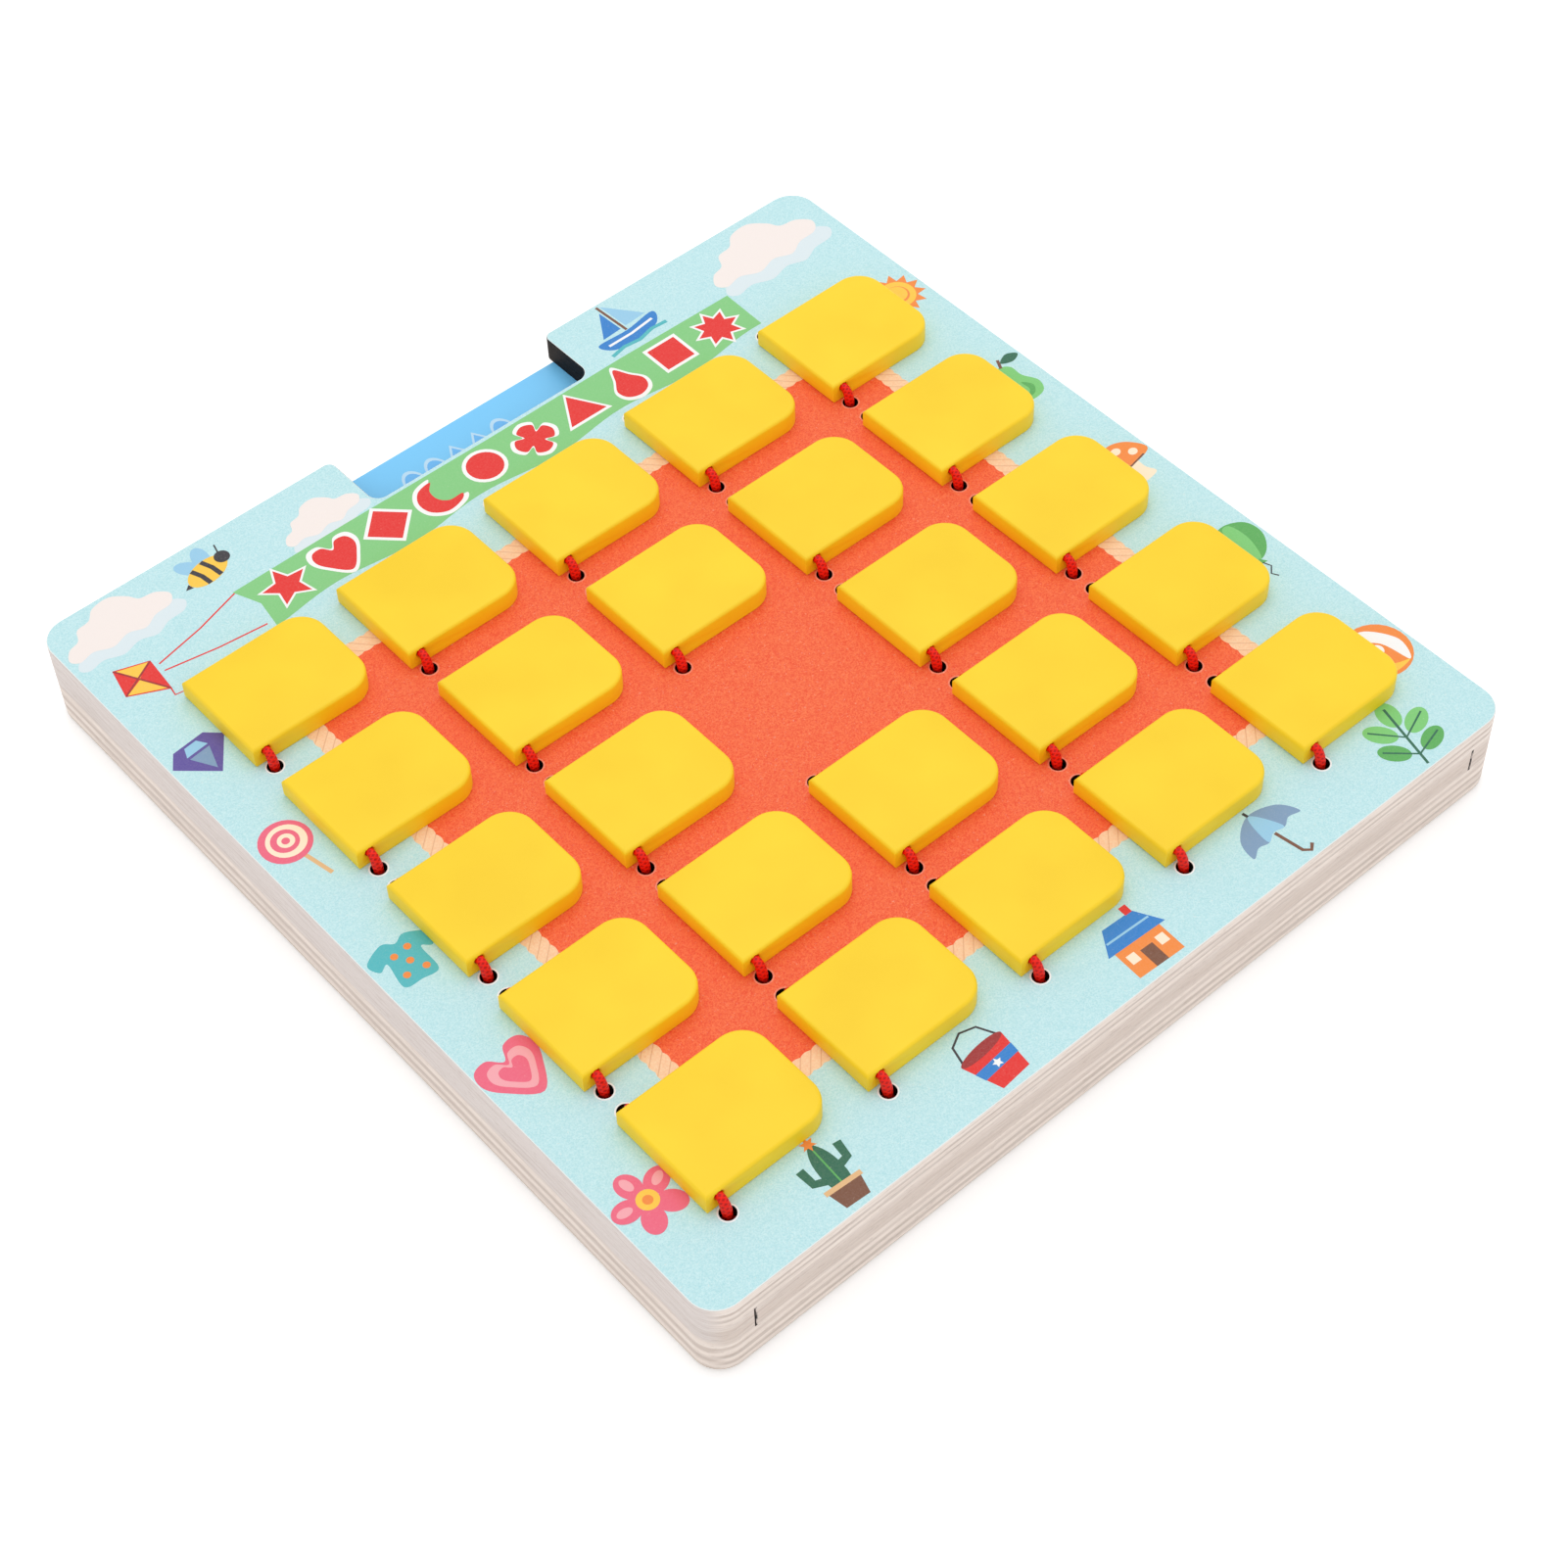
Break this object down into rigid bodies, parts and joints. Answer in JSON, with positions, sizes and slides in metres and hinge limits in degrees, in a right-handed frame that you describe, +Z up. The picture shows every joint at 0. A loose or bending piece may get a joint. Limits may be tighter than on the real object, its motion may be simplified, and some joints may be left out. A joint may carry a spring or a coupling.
{
  "type": "memory matching game board",
  "caption": "Flat wooden memory game board: hinged yellow flaps on red cords cover round windows over a picture card that slides in at a notched back edge.",
  "frame": {"origin": "middle of the board's underside, on the surface that it rests on", "axes": "+X along the front edge to the right, +Y to the back edge with the finger notch, +Z up"},
  "size_m": [0.22, 0.2282, 0.0276],
  "materials": {
    "printed_plywood": "plywood with a printed, satin varnished top face",
    "plywood": "bare sanded plywood with its layers showing at the edge",
    "yellow_flap": "smooth satin yellow paint on wood",
    "red_cord": "braided elastic cord",
    "printed_card": "smooth printed board"
  },
  "bodies": {
    "board": {"top_plate": "printed_plywood", "left_rail": "plywood", "right_rail": "plywood", "front_rail": "plywood", "bottom_plate": "plywood", "hinge_cord_row1_col1": "red_cord", "hinge_cord_row1_col2": "red_cord", "hinge_cord_row1_col3": "red_cord", "hinge_cord_row1_col4": "red_cord", "hinge_cord_row1_col5": "red_cord", "hinge_cord_row2_col1": "red_cord", "hinge_cord_row2_col2": "red_cord", "hinge_cord_row2_col3": "red_cord", "hinge_cord_row2_col4": "red_cord", "hinge_cord_row2_col5": "red_cord", "hinge_cord_row3_col1": "red_cord", "hinge_cord_row3_col2": "red_cord", "hinge_cord_row3_col4": "red_cord", "hinge_cord_row3_col5": "red_cord", "hinge_cord_row4_col1": "red_cord", "hinge_cord_row4_col2": "red_cord", "hinge_cord_row4_col3": "red_cord", "hinge_cord_row4_col4": "red_cord", "hinge_cord_row4_col5": "red_cord", "hinge_cord_row5_col1": "red_cord", "hinge_cord_row5_col2": "red_cord", "hinge_cord_row5_col3": "red_cord", "hinge_cord_row5_col4": "red_cord", "hinge_cord_row5_col5": "red_cord"},
    "flap_row1_col1": {"flap_row1_col1": "yellow_flap"},
    "flap_row1_col2": {"flap_row1_col2": "yellow_flap"},
    "flap_row1_col3": {"flap_row1_col3": "yellow_flap"},
    "flap_row1_col4": {"flap_row1_col4": "yellow_flap"},
    "flap_row1_col5": {"flap_row1_col5": "yellow_flap"},
    "flap_row2_col1": {"flap_row2_col1": "yellow_flap"},
    "flap_row2_col2": {"flap_row2_col2": "yellow_flap"},
    "flap_row2_col3": {"flap_row2_col3": "yellow_flap"},
    "flap_row2_col4": {"flap_row2_col4": "yellow_flap"},
    "flap_row2_col5": {"flap_row2_col5": "yellow_flap"},
    "flap_row3_col1": {"flap_row3_col1": "yellow_flap"},
    "flap_row3_col2": {"flap_row3_col2": "yellow_flap"},
    "flap_row3_col4": {"flap_row3_col4": "yellow_flap"},
    "flap_row3_col5": {"flap_row3_col5": "yellow_flap"},
    "flap_row4_col1": {"flap_row4_col1": "yellow_flap"},
    "flap_row4_col2": {"flap_row4_col2": "yellow_flap"},
    "flap_row4_col3": {"flap_row4_col3": "yellow_flap"},
    "flap_row4_col4": {"flap_row4_col4": "yellow_flap"},
    "flap_row4_col5": {"flap_row4_col5": "yellow_flap"},
    "flap_row5_col1": {"flap_row5_col1": "yellow_flap"},
    "flap_row5_col2": {"flap_row5_col2": "yellow_flap"},
    "flap_row5_col3": {"flap_row5_col3": "yellow_flap"},
    "flap_row5_col4": {"flap_row5_col4": "yellow_flap"},
    "flap_row5_col5": {"flap_row5_col5": "yellow_flap"},
    "picture_card_1": {"picture_card_1": "printed_card"},
    "picture_card_2": {"picture_card_2": "printed_card"},
    "picture_card_3": {"picture_card_3": "printed_card"},
    "picture_card_4": {"picture_card_4": "printed_card"}
  },
  "joints": [
    {"name": "flap_row1_col1_hinge", "type": "hinge", "parent": "board", "child": "flap_row1_col1", "pos_m": [-0.09245, 0.0638, 0.0259], "axis": [0, -1, 0], "range_deg": [0, 180]},
    {"name": "flap_row1_col2_hinge", "type": "hinge", "parent": "board", "child": "flap_row1_col2", "pos_m": [-0.05195, 0.0638, 0.0259], "axis": [0, -1, 0], "range_deg": [0, 162]},
    {"name": "flap_row1_col3_hinge", "type": "hinge", "parent": "board", "child": "flap_row1_col3", "pos_m": [-0.01145, 0.0638, 0.0259], "axis": [0, -1, 0], "range_deg": [0, 162]},
    {"name": "flap_row1_col4_hinge", "type": "hinge", "parent": "board", "child": "flap_row1_col4", "pos_m": [0.02905, 0.0638, 0.0259], "axis": [0, -1, 0], "range_deg": [0, 162]},
    {"name": "flap_row1_col5_hinge", "type": "hinge", "parent": "board", "child": "flap_row1_col5", "pos_m": [0.06955, 0.0638, 0.0259], "axis": [0, -1, 0], "range_deg": [0, 162]},
    {"name": "flap_row2_col1_hinge", "type": "hinge", "parent": "board", "child": "flap_row2_col1", "pos_m": [-0.09245, 0.0272, 0.0259], "axis": [0, -1, 0], "range_deg": [0, 180]},
    {"name": "flap_row2_col2_hinge", "type": "hinge", "parent": "board", "child": "flap_row2_col2", "pos_m": [-0.05195, 0.0272, 0.0259], "axis": [0, -1, 0], "range_deg": [0, 162]},
    {"name": "flap_row2_col3_hinge", "type": "hinge", "parent": "board", "child": "flap_row2_col3", "pos_m": [-0.01145, 0.0272, 0.0259], "axis": [0, -1, 0], "range_deg": [0, 162]},
    {"name": "flap_row2_col4_hinge", "type": "hinge", "parent": "board", "child": "flap_row2_col4", "pos_m": [0.02905, 0.0272, 0.0259], "axis": [0, -1, 0], "range_deg": [0, 162]},
    {"name": "flap_row2_col5_hinge", "type": "hinge", "parent": "board", "child": "flap_row2_col5", "pos_m": [0.06955, 0.0272, 0.0259], "axis": [0, -1, 0], "range_deg": [0, 162]},
    {"name": "flap_row3_col1_hinge", "type": "hinge", "parent": "board", "child": "flap_row3_col1", "pos_m": [-0.09245, -0.0094, 0.0259], "axis": [0, -1, 0], "range_deg": [0, 180]},
    {"name": "flap_row3_col2_hinge", "type": "hinge", "parent": "board", "child": "flap_row3_col2", "pos_m": [-0.05195, -0.0094, 0.0259], "axis": [0, -1, 0], "range_deg": [0, 162]},
    {"name": "flap_row3_col4_hinge", "type": "hinge", "parent": "board", "child": "flap_row3_col4", "pos_m": [0.02905, -0.0094, 0.0259], "axis": [0, -1, 0], "range_deg": [0, 180]},
    {"name": "flap_row3_col5_hinge", "type": "hinge", "parent": "board", "child": "flap_row3_col5", "pos_m": [0.06955, -0.0094, 0.0259], "axis": [0, -1, 0], "range_deg": [0, 162]},
    {"name": "flap_row4_col1_hinge", "type": "hinge", "parent": "board", "child": "flap_row4_col1", "pos_m": [-0.09245, -0.046, 0.0259], "axis": [0, -1, 0], "range_deg": [0, 180]},
    {"name": "flap_row4_col2_hinge", "type": "hinge", "parent": "board", "child": "flap_row4_col2", "pos_m": [-0.05195, -0.046, 0.0259], "axis": [0, -1, 0], "range_deg": [0, 162]},
    {"name": "flap_row4_col3_hinge", "type": "hinge", "parent": "board", "child": "flap_row4_col3", "pos_m": [-0.01145, -0.046, 0.0259], "axis": [0, -1, 0], "range_deg": [0, 162]},
    {"name": "flap_row4_col4_hinge", "type": "hinge", "parent": "board", "child": "flap_row4_col4", "pos_m": [0.02905, -0.046, 0.0259], "axis": [0, -1, 0], "range_deg": [0, 162]},
    {"name": "flap_row4_col5_hinge", "type": "hinge", "parent": "board", "child": "flap_row4_col5", "pos_m": [0.06955, -0.046, 0.0259], "axis": [0, -1, 0], "range_deg": [0, 162]},
    {"name": "flap_row5_col1_hinge", "type": "hinge", "parent": "board", "child": "flap_row5_col1", "pos_m": [-0.09245, -0.0826, 0.0259], "axis": [0, -1, 0], "range_deg": [0, 180]},
    {"name": "flap_row5_col2_hinge", "type": "hinge", "parent": "board", "child": "flap_row5_col2", "pos_m": [-0.05195, -0.0826, 0.0259], "axis": [0, -1, 0], "range_deg": [0, 162]},
    {"name": "flap_row5_col3_hinge", "type": "hinge", "parent": "board", "child": "flap_row5_col3", "pos_m": [-0.01145, -0.0826, 0.0259], "axis": [0, -1, 0], "range_deg": [0, 162]},
    {"name": "flap_row5_col4_hinge", "type": "hinge", "parent": "board", "child": "flap_row5_col4", "pos_m": [0.02905, -0.0826, 0.0259], "axis": [0, -1, 0], "range_deg": [0, 162]},
    {"name": "flap_row5_col5_hinge", "type": "hinge", "parent": "board", "child": "flap_row5_col5", "pos_m": [0.06955, -0.0826, 0.0259], "axis": [0, -1, 0], "range_deg": [0, 162]},
    {"name": "picture_card_1_slide", "type": "slide", "parent": "board", "child": "picture_card_1", "axis": [0, 1, 0], "range_m": [0, 0.218]},
    {"name": "picture_card_2_slide", "type": "slide", "parent": "board", "child": "picture_card_2", "axis": [0, 1, 0], "range_m": [0, 0.218]},
    {"name": "picture_card_3_slide", "type": "slide", "parent": "board", "child": "picture_card_3", "axis": [0, 1, 0], "range_m": [0, 0.218]},
    {"name": "picture_card_4_slide", "type": "slide", "parent": "board", "child": "picture_card_4", "axis": [0, 1, 0], "range_m": [0, 0.218]}
  ]
}
